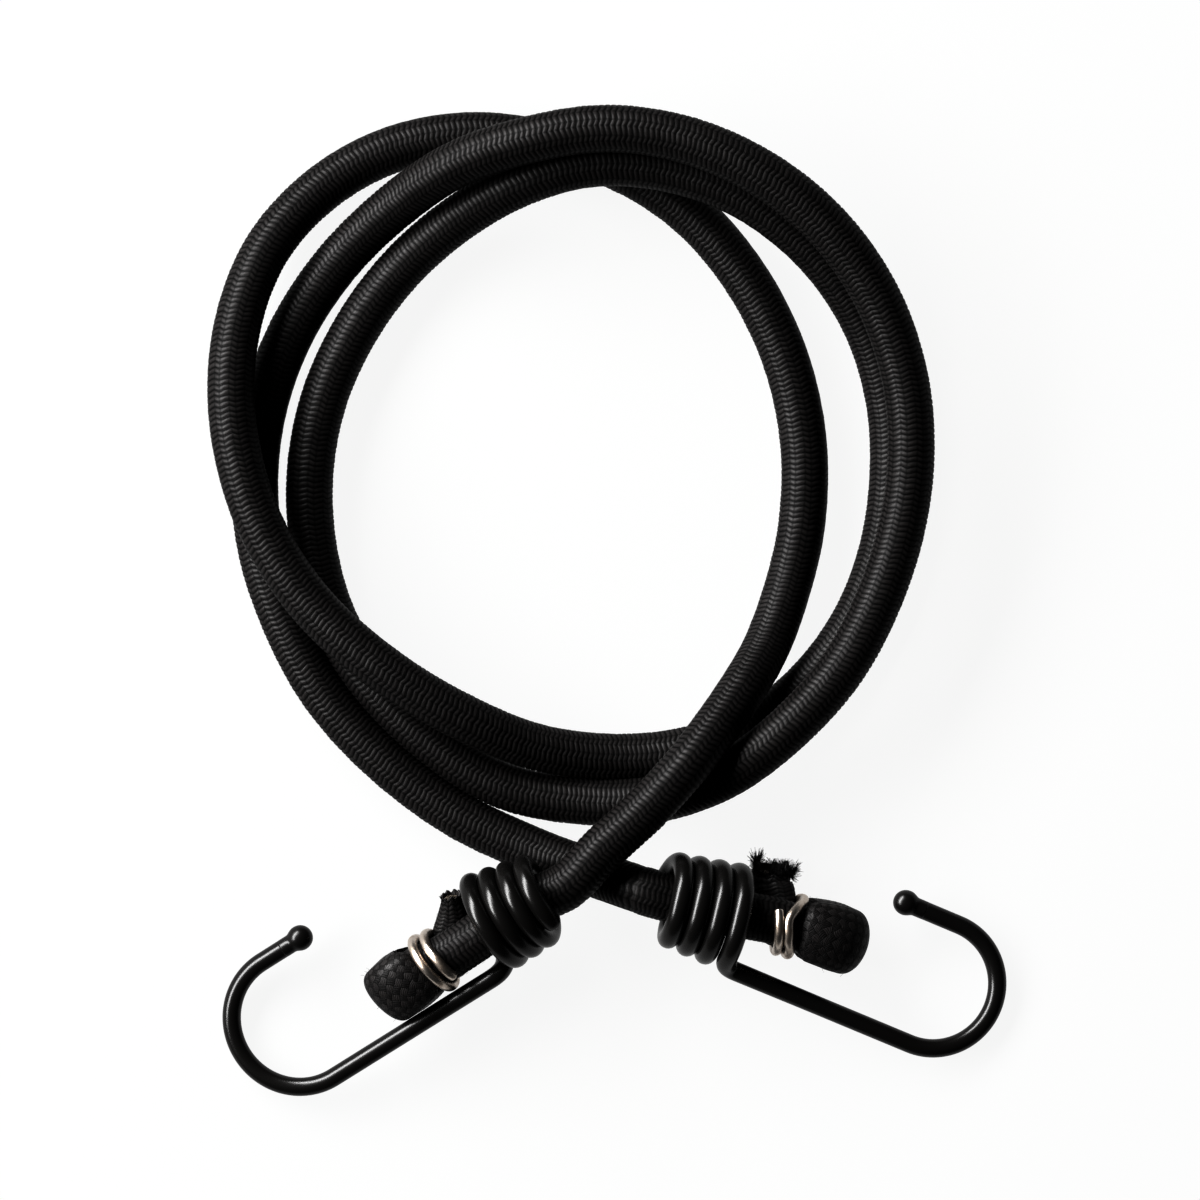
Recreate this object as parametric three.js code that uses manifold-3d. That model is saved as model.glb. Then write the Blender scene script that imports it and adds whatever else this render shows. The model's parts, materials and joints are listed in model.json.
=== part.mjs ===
// Elastic bungee cord, laid down in three loose turns, with a spiral wire hook at each end.
// Each end of the cord passes through its hook's spiral, folds back on itself and is held by a wire clip.
// Millimetres, +Z up. The cord lies on z = 0 and the origin is under the middle of the whole piece.

import * as THREE from 'three';
import { mergeVertices } from 'three/addons/utils/BufferGeometryUtils.js';
import Module from 'manifold-3d';

const wasm = await Module();
wasm.setup();

// Cord: a braided sheath around a rubber core
const CORD_DIAMETER = 8;
const SHEATH_WALL = 1.2;
const LAYER_GAP = 0.45; // between strands that lie on each other
const FLAT_DEPTH = CORD_DIAMETER / 10; // of the flat that the cord lies on
const FIT_GAP = 0.3; // between pieces that touch

// Hook: one wire with a spiral, a straight shank, a half-round bend and a short return leg
const HOOK_WIRE = 3.1;
const SPIRAL_PLAY = 0.65; // between the cord and the narrow rear turn
const SPIRAL_FLARE = 1.5; // by which the front turn's radius is larger than the rear one's
const SPIRAL_GAP = 0.45; // between neighbouring turns
const SPIRAL_PASSES = 4; // turns that cross the near side
const SPIRAL_FRONT_END = -50; // degrees round the axis at which the wire leaves the front turn
const LEAVE_LENGTH = 6.2; // along the axis, over which the wire straightens into the shank
const LEAVE_PULL = 3.7; // for which that curve holds its direction at each end
const SHANK_SPLAY = 6; // degrees between the spiral's axis and the shank
const SHANK_LENGTH = 42.2; // from the spiral's middle to the bend's centre
const TIP_DIAMETER = 4.3;
const TIP_SEAT = 1.2; // from the tip's centre back to the flat that meets the wire

// Clip: two turns of soft wire squeezed round both legs of the fold
const CLIP_WIRE = 1.6;
const CLIP_GAP = 0.42; // between its turns
const CLIP_TURNS = 2;

// Fold: the leg out of the spiral, the knob where the cord turns back, and the tail
const FOLD_START = -10.5; // behind the spiral, along its axis
const LEG_SPREAD = 2.3; // half the distance between the squeezed legs' centres
const LEG_HALF_WIDTH = 3.1;
const LEG_OUTER = 2.7; // half thickness of a squeezed leg, away from the other leg
const LEG_INNER = 2.0; // half thickness towards the other leg
const SHIFT_IN_SPIRAL = 0.1; // share of the leg's shift towards the clip at the spiral's middle
const SHIFT_MIDWAY = 0.5; // share of it halfway to the clip
const KNOB_PLACE = 22.2; // centre of the turn back, along the spiral's axis
const KNOB_SPREAD = 3.1;
const KNOB_OUTER = 3.4;
const KNOB_INNER = 2.6;
const TAIL_HALF_WIDTH = 3.2;
const TAIL_OUTER = 2.9;
const TAIL_INNER = 2.6;

// How each end lies: the spiral's middle, the way its axis points, and the fold's places along and aside.
// side is +1 where the shank is on the left of the axis. Tail points are along, aside and up.
// The hooks are bent by hand, so each has its own bend, return leg and rear cut, in degrees round the axis.
const ENDS = {
  left: {
    middle: [-16.1, -52.5, 13.4],
    yaw: 206.3,
    roll: 0,
    side: 1,
    bendInnerRadius: 10.0,
    returnLength: 8.1,
    rearCut: -323,
    clipPlace: 15.8,
    knobHalfWidth: 4.75,
    clipAside: 1.2,
    knobAside: [2.4, 1.2],
    tail: [[11.2, -0.2, -3.1], [10.2, -1.8, -3.9], [9.0, -2.8, -4.3]],
    runLength: 22,
  },
  right: {
    middle: [15.9, -52.1, 10.4],
    yaw: -16.9,
    roll: 180,
    side: -1,
    bendInnerRadius: 9.4,
    returnLength: 10.1,
    rearCut: -290,
    clipPlace: 15.0,
    knobHalfWidth: 5.1,
    clipAside: -1.2,
    knobAside: [-0.6, -3.0],
    tail: [[11.0, -2.8, -3.2], [10.6, -6.4, -4.0], [10.2, -11.2, -4.0]],
    runLength: 26,
  },
};
const BEND_LIFT = 0.1; // of the bend over the surface that it rests on

// Route of the free cord from the left spiral to the right one, turn by turn: x, y, layer of the lay
const ROUTE = [
  [-0.9, -41.8, 1.5], [6.2, -34.5, 1.46], [13.9, -25.8, 1.44], [21.5, -15.9, 0.95], [26.8, -7.6, 0.32],
  [30.4, 1.8, 0], [32.8, 12.0, 0], [33.4, 23.9, 0], [32.1, 34.1, 0], [28.8, 44.7, 0], [22.7, 55.9, 0],
  [13.9, 66.0, 0], [2.8, 73.3, 0], [-10.0, 77.6, 0], [-23.6, 79.2, 0], [-36.8, 76.8, 0], [-48.4, 70.4, 0.12],
  [-57.6, 60.3, 0.45], [-62.7, 48.6, 0.72], [-64.3, 36.2, 0.93], [-62.9, 23.9, 1.05], [-58.3, 11.1, 1.08],
  [-49.4, -1.6, 1.08], [-36.8, -12.5, 1.08], [-24.6, -19.8, 0.86], [-11.7, -24.4, 0.36],

  [2.0, -26.1, 0], [14.2, -25.1, 0], [25.3, -21.2, 0], [35.1, -13.0, 0], [42.3, -2.8, 0], [46.7, 8.9, 0],
  [48.4, 20.8, 0], [47.9, 33.3, 0], [44.0, 46.4, 0.22], [35.7, 58.6, 0.7], [23.2, 68.3, 1.05],
  [9.6, 73.1, 1.12], [-3.1, 73.8, 1.12], [-14.2, 70.9, 0.95], [-24.9, 65.3, 0.45], [-34.8, 57.1, 0.04],
  [-42.6, 46.9, 0], [-48.3, 34.8, 0], [-50.8, 22.2, 0], [-50.3, 9.4, 0], [-46.4, -2.5, 0],
  [-39.6, -13.2, 0.04], [-29.7, -22.9, 0.04], [-17.8, -30.8, 0],

  [-4.0, -34.7, 0.06], [8.8, -34.1, 0.36], [19.8, -29.3, 0.82], [30.0, -21.5, 1.1], [39.1, -11.5, 1.14],
  [45.4, -0.4, 1.13], [49.4, 11.7, 1.13], [51.3, 24.3, 1.13], [50.3, 37.9, 1.18], [45.5, 51.5, 1.4],
  [36.8, 63.6, 1.7], [25.3, 72.9, 1.88], [12.2, 78.5, 1.92], [-0.9, 80.2, 1.9], [-13.7, 78.2, 1.75],
  [-25.3, 73.8, 1.3], [-35.8, 67.3, 0.5], [-45.7, 58.1, 0.05], [-53.4, 46.9, 0], [-58.3, 34.5, 0],
  [-60.2, 21.9, 0], [-59.3, 9.4, 0], [-55.6, -3.0, 0], [-48.9, -15.4, 0], [-38.9, -26.7, 0],
  [-26.3, -36.2, 0], [-13.4, -42.3, 0.07], [-3.1, -46.1, 0.42],
];

// Faceting
const CORD_SIDES = 8;
const WIRE_SIDES = 8;
const LOOP_STEPS = 120;
const RUN_STEPS = 5;
const FOLD_STEPS_PER_STATION = 2;
const SPIRAL_STEPS_PER_TURN = 14;
const LEAVE_STEPS = 6;
const BEND_STEPS = 12;
const TIP_SIDES = 12;
const TIP_STEPS = 6;
const KNOB_STEPS = 4;
const CLIP_STEPS_PER_HALF = 6;
const SAMPLES_PER_POINT = 24; // along the free cord, for its length

// Worked out from the sizes above
const CORD_RADIUS = CORD_DIAMETER / 2;
const CORE_INSET = SHEATH_WALL + FIT_GAP;
const WIRE_RADIUS = HOOK_WIRE / 2;
const LAYER_RISE = CORD_DIAMETER + LAYER_GAP;
const SPIRAL_PITCH = HOOK_WIRE + SPIRAL_GAP;
const REAR_RADIUS = CORD_RADIUS + SPIRAL_PLAY + WIRE_RADIUS;
const CLIP_PITCH = CLIP_WIRE + CLIP_GAP;
const CLIP_HALF_LENGTH = (CLIP_TURNS * CLIP_PITCH + CLIP_WIRE) / 2;
const radians = THREE.MathUtils.degToRad;

const round = (half) => new THREE.Vector3(half, half, half);

// Points round one ring of a tube. section holds its half width and its half thicknesses out and in.
function ring(centre, tangent, across, section, sides) {
  const outward = new THREE.Vector3().crossVectors(tangent, across);
  const points = [];
  for (let k = 0; k < sides; k += 1) {
    const angle = (2 * Math.PI * (k + 0.5)) / sides;
    const thickness = Math.sin(angle) > 0 ? section.y : section.z;
    points.push(
      centre
        .clone()
        .addScaledVector(across, section.x * Math.cos(angle))
        .addScaledVector(outward, thickness * Math.sin(angle)),
    );
  }
  return points;
}

// Directions of a bare line of points, from each one's neighbours
function tangentsOf(centres) {
  const last = centres.length - 1;
  return centres.map((_, i) => {
    const ahead = centres[Math.min(i + 1, last)];
    const behind = centres[Math.max(i - 1, 0)];
    return ahead.clone().sub(behind).normalize();
  });
}

// Rings along a line, turning no more than the line does
function ringsAlong(line, sections, firstAcross, sides) {
  const across = firstAcross.clone();
  return line.centres.map((centre, i) => {
    const tangent = line.tangents[i];
    across.addScaledVector(tangent, -across.dot(tangent)).normalize();
    return ring(centre, tangent, across.clone(), sections[i], sides);
  });
}

// Closed skin over rings in order. A loop of rings joins up with its first; otherwise both ends are capped.
function skin(rings, isLoop) {
  const sides = rings[0].length;
  const positions = rings.flat().flatMap((point) => point.toArray());
  const index = [];
  const spans = isLoop ? rings.length : rings.length - 1;
  for (let i = 0; i < spans; i += 1) {
    const here = i * sides;
    const next = ((i + 1) % rings.length) * sides;
    for (let k = 0; k < sides; k += 1) {
      const k1 = (k + 1) % sides;
      index.push(here + k, here + k1, next + k1, here + k, next + k1, next + k);
    }
  }
  if (!isLoop) {
    const end = (rings.length - 1) * sides;
    for (let k = 1; k < sides - 1; k += 1) {
      index.push(0, k + 1, k);
      index.push(end, end + k, end + k + 1);
    }
  }
  const geometry = new THREE.BufferGeometry();
  geometry.setAttribute('position', new THREE.Float32BufferAttribute(positions, 3));
  geometry.setIndex(index);
  geometry.computeVertexNormals();
  return geometry;
}

function rod(line, sections, across, sides) {
  return skin(ringsAlong(line, sections, across, sides), false);
}

function sleeve(line, sections, wall, across, sides) {
  const bores = sections.map((section) => section.clone().subScalar(wall));
  const outside = ringsAlong(line, sections, across, sides);
  const inside = ringsAlong(line, bores, across, sides);
  return skin([...outside, ...inside.reverse()], true);
}

function wire(centres, diameter) {
  const line = { centres, tangents: tangentsOf(centres) };
  const sections = centres.map(() => round(diameter / 2));
  return rod(line, sections, new THREE.Vector3(1, 0, 0), WIRE_SIDES);
}

function toSolid(geometry) {
  const bare = geometry.clone();
  bare.deleteAttribute('normal');
  bare.deleteAttribute('uv');
  const merged = mergeVertices(bare);
  const mesh = new wasm.Mesh({
    numProp: 3,
    vertProperties: new Float32Array(merged.attributes.position.array),
    triVerts: new Uint32Array(merged.index.array),
  });
  return new wasm.Manifold(mesh);
}

function fromSolid(solid) {
  const mesh = solid.getMesh();
  const geometry = new THREE.BufferGeometry();
  geometry.setAttribute('position', new THREE.Float32BufferAttribute(mesh.vertProperties, 3));
  geometry.setIndex(Array.from(mesh.triVerts));
  geometry.computeVertexNormals();
  return geometry;
}

// Cuts away what reaches below the surface that the cord lies on
function cutFlat(geometry) {
  geometry.computeBoundingBox();
  const { min, max } = geometry.boundingBox;
  const height = 2 * max.z;
  const above = new THREE.BoxGeometry(2 * (max.x - min.x), 2 * (max.y - min.y), height);
  above.translate((min.x + max.x) / 2, (min.y + max.y) / 2, height / 2);
  return fromSolid(toSolid(geometry).intersect(toSolid(above)));
}

// Least gap of a tube to itself, between centres that lie further apart along it than they need to
function leastGap(centres, diameter) {
  const along = [0];
  for (let i = 1; i < centres.length; i += 1) {
    along.push(along[i - 1] + centres[i].distanceTo(centres[i - 1]));
  }
  let least = Infinity;
  for (let i = 0; i < centres.length; i += 1) {
    for (let j = i + 1; j < centres.length; j += 1) {
      if (along[j] - along[i] > 2 * diameter) {
        least = Math.min(least, centres[i].distanceTo(centres[j]) - diameter);
      }
    }
  }
  return least;
}

const FINISHES = {
  braid: { color: 0x17171a, roughness: 0.85, metalness: 0 },
  rubber: { color: 0x8a7a62, roughness: 0.7, metalness: 0 },
  coating: { color: 0x0e0e10, roughness: 0.3, metalness: 0.2 },
  plating: { color: 0xb9b3a8, roughness: 0.35, metalness: 1 },
  tip: { color: 0x101012, roughness: 0.4, metalness: 0 },
};

function addPiece(group, name, geometry, finish) {
  const mesh = new THREE.Mesh(geometry, new THREE.MeshStandardMaterial(FINISHES[finish]));
  mesh.name = name;
  group.add(mesh);
}

// Hook wire in its own frame: +X along the spiral's axis to the front, +Y towards the shank
function hookLine(end) {
  const frontPass = ((SPIRAL_PASSES - 1) / 2) * SPIRAL_PITCH;
  const firstTurn = radians(end.rearCut - 360 * (SPIRAL_PASSES - 1));
  const lastTurn = radians(SPIRAL_FRONT_END);
  const turnSteps = Math.round(((lastTurn - firstTurn) / (2 * Math.PI)) * SPIRAL_STEPS_PER_TURN);
  const spiral = (angle) => {
    const share = (angle - firstTurn) / (lastTurn - firstTurn);
    const radius = REAR_RADIUS + SPIRAL_FLARE * share;
    const along = frontPass + (SPIRAL_PITCH * (angle + Math.PI / 2)) / (2 * Math.PI);
    return new THREE.Vector3(along, radius * Math.cos(angle), radius * Math.sin(angle));
  };
  const points = [];
  for (let i = 0; i <= turnSteps; i += 1) {
    points.push(spiral(firstTurn + ((lastTurn - firstTurn) * i) / turnSteps));
  }

  const splay = radians(SHANK_SPLAY);
  const forward = new THREE.Vector3(Math.cos(splay), Math.sin(splay), 0);
  const inward = new THREE.Vector3(Math.sin(splay), -Math.cos(splay), 0);
  const offset = REAR_RADIUS + SPIRAL_FLARE;
  const shank = (along) => inward.clone().multiplyScalar(-offset).addScaledVector(forward, along);

  const leave = points[points.length - 1];
  const leaving = leave.clone().sub(points[points.length - 2]).normalize();
  const shankStart = frontPass + LEAVE_LENGTH;
  const joining = new THREE.CubicBezierCurve3(
    leave,
    leave.clone().addScaledVector(leaving, LEAVE_PULL),
    shank(shankStart).addScaledVector(forward, -LEAVE_PULL),
    shank(shankStart),
  );
  points.push(...joining.getPoints(LEAVE_STEPS).slice(1));
  points.push(shank((shankStart + SHANK_LENGTH) / 2));

  const bendRadius = end.bendInnerRadius + WIRE_RADIUS;
  const bendCentre = shank(SHANK_LENGTH).addScaledVector(inward, bendRadius);
  for (let i = 0; i <= BEND_STEPS; i += 1) {
    const angle = (Math.PI * i) / BEND_STEPS;
    const point = bendCentre
      .clone()
      .addScaledVector(forward, bendRadius * Math.sin(angle))
      .addScaledVector(inward, -bendRadius * Math.cos(angle));
    points.push(point);
  }
  const tipCentre = bendCentre
    .clone()
    .addScaledVector(inward, bendRadius)
    .addScaledVector(forward, -end.returnLength);
  points.push(tipCentre.clone().addScaledVector(forward, TIP_SEAT + FIT_GAP));
  return {
    points,
    spiralPoints: points.slice(0, turnSteps + 1),
    tipCentre,
    backward: forward.clone().negate(),
    reach: bendCentre.x + bendRadius,
  };
}

// Ball tip with a flat seat on the wire's end, turned about its own axis and pointing backward along the leg
function tipGeometry(tipCentre, backward) {
  const radius = TIP_DIAMETER / 2;
  const seatAngle = Math.acos(-TIP_SEAT / radius);
  const profile = [new THREE.Vector2(0, -TIP_SEAT)];
  for (let i = 0; i < TIP_STEPS; i += 1) {
    const angle = seatAngle * (1 - i / TIP_STEPS);
    profile.push(new THREE.Vector2(radius * Math.sin(angle), radius * Math.cos(angle)));
  }
  profile.push(new THREE.Vector2(0, radius));
  const ball = new THREE.LatheGeometry(profile, TIP_SIDES);
  const turn = new THREE.Quaternion().setFromUnitVectors(new THREE.Vector3(0, 1, 0), backward);
  ball.applyQuaternion(turn);
  ball.translate(...tipCentre.toArray());
  return mergeVertices(ball);
}

// Centre line and sections of one fold in its end's frame: +X along the spiral's axis, +Z up.
// before is the last point of the free cord behind it, which sets the direction that the fold starts in.
function foldLine(end, before) {
  const stations = [];
  const add = (along, aside, up, half, outer, inner) => {
    stations.push({
      place: new THREE.Vector3(along, aside * end.side, up),
      section: new THREE.Vector3(half, outer, inner),
    });
  };
  const [legAside, tailAside] = end.knobAside;
  const clipRear = end.clipPlace - CLIP_HALF_LENGTH;
  const clipFront = end.clipPlace + CLIP_HALF_LENGTH;
  const leg = [LEG_HALF_WIDTH, LEG_OUTER, LEG_INNER];
  const knob = [end.knobHalfWidth, KNOB_OUTER, KNOB_INNER];
  const tail = [TAIL_HALF_WIDTH, TAIL_OUTER, TAIL_INNER];
  const full = [CORD_RADIUS, CORD_RADIUS, CORD_RADIUS];

  add(before.x, before.y * end.side, before.z, ...full);
  add(FOLD_START, 0, 0, ...full);
  add(FOLD_START / 2, 0, 0, ...full);
  add(0, SHIFT_IN_SPIRAL * end.clipAside, SHIFT_IN_SPIRAL * LEG_SPREAD, ...full);
  add(clipRear / 2, SHIFT_MIDWAY * end.clipAside, SHIFT_MIDWAY * LEG_SPREAD, ...full);
  add(clipRear, end.clipAside, LEG_SPREAD, ...leg);
  add(clipFront, end.clipAside, LEG_SPREAD, ...leg);
  for (let i = 0; i <= KNOB_STEPS; i += 1) {
    const angle = (Math.PI * i) / KNOB_STEPS;
    const aside = THREE.MathUtils.lerp(legAside, tailAside, i / KNOB_STEPS);
    add(KNOB_PLACE + KNOB_SPREAD * Math.sin(angle), aside, KNOB_SPREAD * Math.cos(angle), ...knob);
  }
  add(clipFront, end.clipAside, -LEG_SPREAD, ...leg);
  add(clipRear, end.clipAside, -LEG_SPREAD, ...leg);
  end.tail.forEach((place) => add(...place, ...tail));

  const path = new THREE.CatmullRomCurve3(stations.map((station) => station.place));
  const sizes = new THREE.CatmullRomCurve3(stations.map((station) => station.section));
  const steps = FOLD_STEPS_PER_STATION * (stations.length - 1);
  const shares = [];
  for (let i = FOLD_STEPS_PER_STATION; i <= steps; i += 1) {
    shares.push(i / steps);
  }
  return {
    centres: shares.map((share) => path.getPoint(share)),
    tangents: shares.map((share) => path.getTangent(share)),
    sections: shares.map((share) => sizes.getPoint(share)),
  };
}

// Two turns of clip wire round both squeezed legs
function clipLine(end) {
  const radius = LEG_HALF_WIDTH + FIT_GAP + CLIP_WIRE / 2;
  const halves = 2 * CLIP_TURNS;
  const points = [];
  for (let half = 0; half < halves; half += 1) {
    const lift = half % 2 === 0 ? LEG_SPREAD : -LEG_SPREAD;
    for (let i = 0; i <= CLIP_STEPS_PER_HALF; i += 1) {
      const turn = half + i / CLIP_STEPS_PER_HALF;
      const angle = Math.PI * turn;
      points.push(
        new THREE.Vector3(
          end.clipPlace + CLIP_PITCH * (turn / 2 - CLIP_TURNS / 2),
          end.clipAside * end.side + radius * Math.cos(angle),
          lift + radius * Math.sin(angle),
        ),
      );
    }
  }
  return points;
}

const product = new THREE.Group();

// One end: the fold, its clip and the hook that turns on it
function addEnd(name, end, before) {
  const group = new THREE.Group();
  const hook = hookLine(end);
  const drop = end.middle[2] - WIRE_RADIUS - BEND_LIFT;
  group.position.set(...end.middle);
  group.rotation.set(0, Math.asin(drop / hook.reach), radians(end.yaw), 'ZYX');
  group.updateMatrix();
  product.add(group);

  const aside = new THREE.Vector3(0, 1, 0);
  const fold = foldLine(end, before.clone().applyMatrix4(group.matrix.clone().invert()));
  const coreSections = fold.sections.map((section) => section.clone().subScalar(CORE_INSET));
  const foldSheath = sleeve(fold, fold.sections, SHEATH_WALL, aside, CORD_SIDES);
  addPiece(group, `${name}_sheath_fold`, foldSheath, 'braid');
  addPiece(group, `${name}_core_fold`, rod(fold, coreSections, aside, CORD_SIDES), 'rubber');
  addPiece(group, `${name}_clip`, wire(clipLine(end), CLIP_WIRE), 'plating');

  const swivel = new THREE.Group();
  swivel.rotation.x = radians(end.roll);
  group.add(swivel);
  addPiece(swivel, `${name}_hook`, wire(hook.points, HOOK_WIRE), 'coating');
  addPiece(swivel, `${name}_hook_tip`, tipGeometry(hook.tipCentre, hook.backward), 'tip');
  return group;
}

const LOWEST_CENTRE = CORD_RADIUS - FLAT_DEPTH;
const laid = ROUTE.map(([x, y, layer]) => new THREE.Vector3(x, y, LOWEST_CENTRE + layer * LAYER_RISE));
const leftEnd = addEnd('left', ENDS.left, laid[0]);
const rightEnd = addEnd('right', ENDS.right, laid[laid.length - 1]);

// The free cord between the two folds, as one curve
const onAxis = (group, along) => new THREE.Vector3(along, 0, 0).applyMatrix4(group.matrix);
const freeCord = new THREE.CatmullRomCurve3([
  onAxis(leftEnd, FOLD_START / 2),
  onAxis(leftEnd, FOLD_START),
  ...laid,
  onAxis(rightEnd, FOLD_START),
  onAxis(rightEnd, FOLD_START / 2),
]);
const spans = freeCord.points.length - 1;
freeCord.arcLengthDivisions = spans * SAMPLES_PER_POINT;
const lengths = freeCord.getLengths();
const total = lengths[lengths.length - 1];
const cordStart = lengths[SAMPLES_PER_POINT] + FIT_GAP / 2;
const cordEnd = lengths[lengths.length - 1 - SAMPLES_PER_POINT] - FIT_GAP / 2;

// One stretch of the free cord, short of both its ends by half the gap to what it meets there
function addStretch(sheathName, coreName, from, to, steps) {
  const shares = [];
  for (let i = 0; i <= steps; i += 1) {
    shares.push(THREE.MathUtils.lerp(from + FIT_GAP / 2, to - FIT_GAP / 2, i / steps) / total);
  }
  const stretch = {
    centres: shares.map((share) => freeCord.getPointAt(share)),
    tangents: shares.map((share) => freeCord.getTangentAt(share)),
  };
  const up = new THREE.Vector3(0, 0, 1);
  const sections = shares.map(() => round(CORD_RADIUS));
  const coreSections = shares.map(() => round(CORD_RADIUS - CORE_INSET));
  addPiece(product, sheathName, cutFlat(sleeve(stretch, sections, SHEATH_WALL, up, CORD_SIDES)), 'braid');
  addPiece(product, coreName, rod(stretch, coreSections, up, CORD_SIDES), 'rubber');
  return stretch.centres;
}

const loopsStart = cordStart + ENDS.left.runLength;
const loopsEnd = cordEnd - ENDS.right.runLength;
addStretch('left_sheath_run', 'left_core_run', cordStart, loopsStart, RUN_STEPS);
const loopCentres = addStretch('sheath_loops', 'core_loops', loopsStart, loopsEnd, LOOP_STEPS);
addStretch('right_sheath_run', 'right_core_run', loopsEnd, cordEnd, RUN_STEPS);

// The origin is under the middle of the whole piece
const outline = new THREE.Box3().setFromObject(product, true).getCenter(new THREE.Vector3());
product.position.set(-outline.x, -outline.y, 0);

console.log('free cord length', (cordEnd - cordStart).toFixed(1));
console.log('least gap of the loops', leastGap(loopCentres, CORD_DIAMETER).toFixed(2));
console.log('least gap of a spiral', leastGap(hookLine(ENDS.left).spiralPoints, HOOK_WIRE).toFixed(2));
console.log('least gap of a clip', leastGap(clipLine(ENDS.left), CLIP_WIRE).toFixed(2));

export default product;
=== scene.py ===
"""Looks of a coiled bungee cord: braided elastic with a spiral wire hook clipped into each folded end."""

import json
import math

import bpy
import numpy as np
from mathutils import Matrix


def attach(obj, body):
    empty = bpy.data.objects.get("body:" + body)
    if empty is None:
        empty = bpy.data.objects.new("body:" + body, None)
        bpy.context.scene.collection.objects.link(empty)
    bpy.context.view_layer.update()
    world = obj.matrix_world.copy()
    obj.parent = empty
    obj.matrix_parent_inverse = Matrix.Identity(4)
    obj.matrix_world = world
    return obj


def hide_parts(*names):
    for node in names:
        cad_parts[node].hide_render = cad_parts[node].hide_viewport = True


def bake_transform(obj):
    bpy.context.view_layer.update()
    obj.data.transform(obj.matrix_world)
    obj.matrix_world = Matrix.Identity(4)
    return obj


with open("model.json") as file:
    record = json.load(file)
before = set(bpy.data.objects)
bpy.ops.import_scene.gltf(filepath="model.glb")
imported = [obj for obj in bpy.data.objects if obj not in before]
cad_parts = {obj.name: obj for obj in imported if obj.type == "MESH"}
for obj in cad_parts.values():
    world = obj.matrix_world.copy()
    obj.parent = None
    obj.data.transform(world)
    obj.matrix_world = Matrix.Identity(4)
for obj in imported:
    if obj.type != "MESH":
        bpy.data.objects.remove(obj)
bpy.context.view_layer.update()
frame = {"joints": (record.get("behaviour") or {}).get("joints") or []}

# Lengths are in millimetres until a mesh is made
MM = 0.001
JOINTS = {joint["name"]: joint for joint in frame["joints"]}

LAYER_RISE = 8.45
LOWEST_CENTRE = 3.2
LEFT_RUN = 22.0
RIGHT_RUN = 26.0
FOLD_START = -10.5

# The braid: raised ridges across the cord, each one kinked where yarns cross
RIDGE_PITCH = 0.92
RING_PHASES = (0.0, 0.24, 0.76)
RINGS_PER_RIDGE = len(RING_PHASES)
BRAID_COLUMNS = 9
FLAT_SHARE = 0.62
COLUMN_STATIONS = (0.0, 0.31, 0.62)
FOLD_STATIONS = (0.0, 0.1, 0.21, 0.31, 0.41, 0.52, 0.62, 0.75, 0.87)
RIDGE_DEPTH = 0.34
FOLD_RIDGE_DEPTH = 0.22
OUTSIDE_SHARE = 0.9
# Its unevenness: patches to a ridge and to a column, and the least and the greatest share of a ridge's depth
UNEVEN_GRAIN = (0.31, 1.3)
UNEVEN_DEPTH = (0.4, 1.6)
# Limits of the sleeve's stretch, where it leads the kinks and where it deepens the ridges
LEAST_RING_STEP = RIDGE_PITCH / 9
LEAD_STRETCH = (0.1, 1.3)
SLACK_STRETCH = (0.2, 1.0)
# Round the knob the braid is pulled open, and shows as a coarse weave in place of ridges
OPEN_REACH = 1.2
OPEN_FLATNESS = 0.75
WEAVE_ALONG = 0.5
WEAVE_AROUND = 2.0
WEAVE_YARNS = 4.0
WEAVE_DRIFT = 0.9
SAMPLES_PER_SPAN = 24
LEAST_SPAN = 1e-4
# Pieces of the cord run on under each other by a few rings, a little thinner, so that no seam shows
TUCKED_RINGS = 3
TUCK_DEPTH = 0.06

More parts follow.
